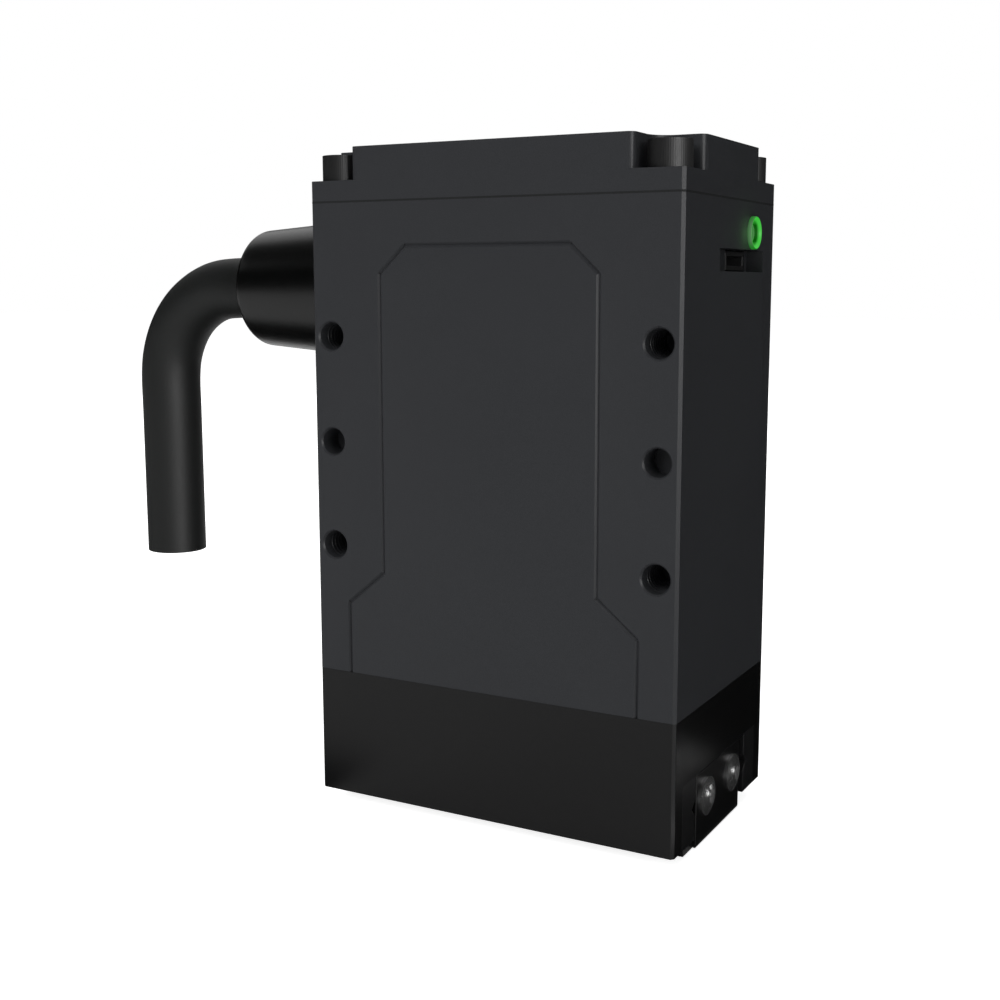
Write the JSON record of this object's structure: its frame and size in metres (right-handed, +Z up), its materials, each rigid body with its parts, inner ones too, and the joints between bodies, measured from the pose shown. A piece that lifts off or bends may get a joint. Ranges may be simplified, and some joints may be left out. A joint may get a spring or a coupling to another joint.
{
  "type": "electric two finger gripper",
  "caption": "Slim electric parallel gripper with two jaws on crossed roller guides, a rack and pinion drive, a planetary gear motor, a status light and a side cable gland.",
  "frame": {"origin": "centre of the finger mounting faces' plane, under the middle of the body, without the cable and its gland", "axes": "+X along the jaw travel towards the status light side, +Y from the front face to the back, +Z up from the jaws to the cover"},
  "size_m": [0.112, 0.0374, 0.1012],
  "materials": {
    "graphite_anodised": "fine bead-blasted graphite anodising",
    "black_anodised": "satin black anodising",
    "black_rubber": "matt black rubber",
    "black_steel": "black oxide on alloy steel",
    "bright_steel": "bright steel",
    "guide_steel": "ground and blackened tool steel",
    "jaw_steel": "black coated steel",
    "brass": "rolled brass",
    "gear_steel": "hobbed and hardened steel",
    "motor_metal": "turned and anodised",
    "copper_wire": "enamelled copper wire",
    "magnet": "nickel plated magnet",
    "circuit_board": "green solder mask",
    "black_plastic": "moulded black plastic",
    "clear_plastic": "frosted clear plastic",
    "green_light": "glowing green light guide",
    "gland_plastic": "satin black moulded plastic",
    "cable_rubber": "smooth black cable sheath",
    "lead_insulation": "lead insulation"
  },
  "bodies": {
    "gripper_body": {"housing": "graphite_anodised", "top_cover": "graphite_anodised", "cover_gasket": "black_rubber", "cover_screws": "black_steel", "base": "black_anodised", "base_screws": "black_steel", "dowel_pins": "bright_steel", "front_rail": "guide_steel", "back_rail": "guide_steel", "rail_screws": "black_steel", "pinion_bearing": "bright_steel", "carrier_bearing": "bright_steel", "ring_gear": "gear_steel", "gearbox_screws": "black_steel", "motor_front_cap": "motor_metal", "motor_can": "motor_metal", "motor_rear_cap": "motor_metal", "stator_core": "guide_steel", "stator_windings": "copper_wire", "motor_bearings": "bright_steel", "encoder_board": "circuit_board", "encoder_posts": "brass", "controller_board": "circuit_board", "board_components": "black_plastic", "board_screws": "bright_steel", "light_pipe": "clear_plastic", "light_ring": "green_light", "port_socket": "black_plastic", "cable_gland": "gland_plastic", "gland_seal": "black_rubber", "gland_nut": "gland_plastic", "cable_jacket": "cable_rubber", "core_leads": "lead_insulation"},
    "right_jaw_slide_body": {"right_jaw": "jaw_steel", "right_end_plate": "jaw_steel", "right_end_screws": "bright_steel", "right_rack": "guide_steel", "right_rack_screws": "black_steel"},
    "left_jaw_slide_body": {"left_jaw": "jaw_steel", "left_end_plate": "jaw_steel", "left_end_screws": "bright_steel", "left_rack": "guide_steel", "left_rack_screws": "black_steel"},
    "right_cage_body": {"right_cages": "brass", "right_rollers": "bright_steel"},
    "left_cage_body": {"left_cages": "brass", "left_rollers": "bright_steel"},
    "output_shaft": {"drive_pinion": "gear_steel", "planet_carrier": "gear_steel", "planet_pins": "bright_steel"},
    "planet_1": {"planet_gear_1": "gear_steel"},
    "planet_2": {"planet_gear_2": "gear_steel"},
    "planet_3": {"planet_gear_3": "gear_steel"},
    "rotor": {"rotor_shaft": "bright_steel", "rotor_magnet": "magnet", "sun_gear": "gear_steel", "encoder_magnet": "magnet"}
  },
  "joints": [
    {"name": "right_jaw_travel", "type": "slide", "parent": "gripper_body", "child": "right_jaw_slide_body", "axis": [1, 0, 0], "range_m": [0, 0.005]},
    {"name": "left_jaw_travel", "type": "slide", "parent": "gripper_body", "child": "left_jaw_slide_body", "axis": [-1, 0, 0], "range_m": [0, 0.00501]},
    {"name": "right_cage_travel", "type": "slide", "parent": "gripper_body", "child": "right_cage_body", "axis": [1, 0, 0], "range_m": [0, 0.00251]},
    {"name": "left_cage_travel", "type": "slide", "parent": "gripper_body", "child": "left_cage_body", "axis": [-1, 0, 0], "range_m": [0, 0.00251]},
    {"name": "output_turn", "type": "hinge", "parent": "gripper_body", "child": "output_shaft", "pos_m": [0, 0, 0.03], "axis": [0, 0, 1], "range_deg": [0, 59.88]},
    {"name": "rotor_turn", "type": "hinge", "parent": "gripper_body", "child": "rotor", "pos_m": [0, 0, 0.05], "axis": [0, 0, 1], "range_deg": [0, 238.93]},
    {"name": "planet_1_turn", "type": "hinge", "parent": "output_shaft", "child": "planet_1", "pos_m": [0.0081, 0, 0.031], "axis": [0, 0, 1], "range_deg": [-179.25, 0]},
    {"name": "planet_2_turn", "type": "hinge", "parent": "output_shaft", "child": "planet_2", "pos_m": [-0.00405, 0.00701, 0.031], "axis": [0, 0, 1], "range_deg": [-179.25, 0]},
    {"name": "planet_3_turn", "type": "hinge", "parent": "output_shaft", "child": "planet_3", "pos_m": [-0.00405, -0.00701, 0.031], "axis": [0, 0, 1], "range_deg": [-179.25, 0]}
  ],
  "couplings": [
    {"joint": "left_jaw_travel", "follows": "right_jaw_travel", "ratio": 1},
    {"joint": "right_cage_travel", "follows": "right_jaw_travel", "ratio": 0.5},
    {"joint": "left_cage_travel", "follows": "right_jaw_travel", "ratio": 0.5},
    {"joint": "output_turn", "follows": "right_jaw_travel", "rad_per_m": 208.33},
    {"joint": "rotor_turn", "follows": "right_jaw_travel", "rad_per_m": 833.33},
    {"joint": "planet_1_turn", "follows": "right_jaw_travel", "rad_per_m": -625},
    {"joint": "planet_2_turn", "follows": "right_jaw_travel", "rad_per_m": -625},
    {"joint": "planet_3_turn", "follows": "right_jaw_travel", "rad_per_m": -625}
  ]
}
